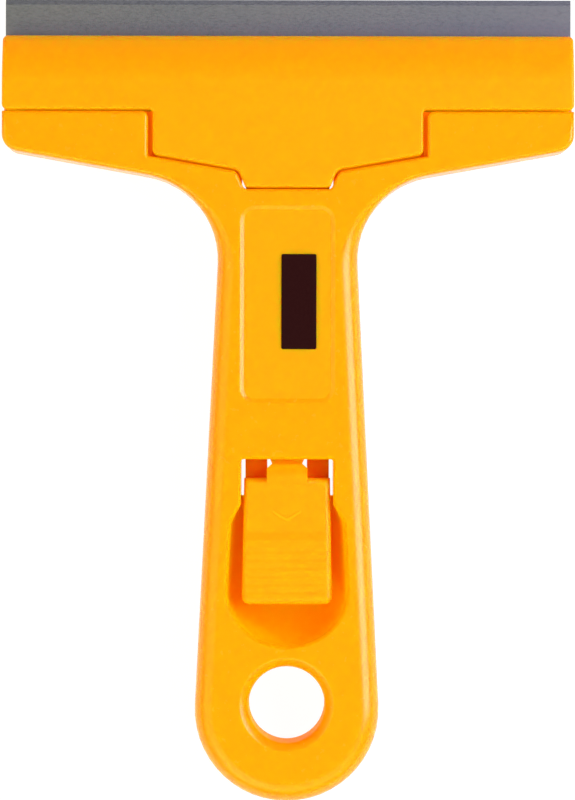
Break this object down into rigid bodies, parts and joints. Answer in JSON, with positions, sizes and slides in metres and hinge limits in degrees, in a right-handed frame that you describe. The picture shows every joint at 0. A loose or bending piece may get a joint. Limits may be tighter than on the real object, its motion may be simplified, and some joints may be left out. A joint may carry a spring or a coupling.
{
  "type": "hand scraper",
  "caption": "Moulded plastic hand scraper: a wide steel blade is clamped by a rocking front jaw, opened by a ribbed press pad in the grip; round hanging hole.",
  "frame": {"origin": "on the resting plane under the middle of the overall length and width, with the scraper lying on its back", "axes": "+X along the blade, +Y from the hanging hole towards the cutting edge, +Z out of the front face with the press pad"},
  "size_m": [0.1006, 0.1414, 0.014],
  "materials": {
    "handle_plastic": "satin moulded",
    "lever_plastic": "satin moulded",
    "blade_steel": "fine ground, oiled",
    "pin_steel": "drawn bright",
    "spring_steel": "drawn wire"
  },
  "bodies": {
    "handle": {"handle_body": "handle_plastic", "blade": "blade_steel", "hinge_pin": "pin_steel", "return_spring": "spring_steel"},
    "lever": {"clamp_lever": "lever_plastic"}
  },
  "joints": [
    {"name": "clamp_pivot", "type": "hinge", "parent": "handle", "child": "lever", "pos_m": [0, 0.0296, 0.0091], "axis": [1, 0, 0], "range_deg": [0, 2.4], "stiffness_Nm_per_rad": 4.7, "springref_deg": -2.86, "deforming": ["return_spring"]}
  ]
}
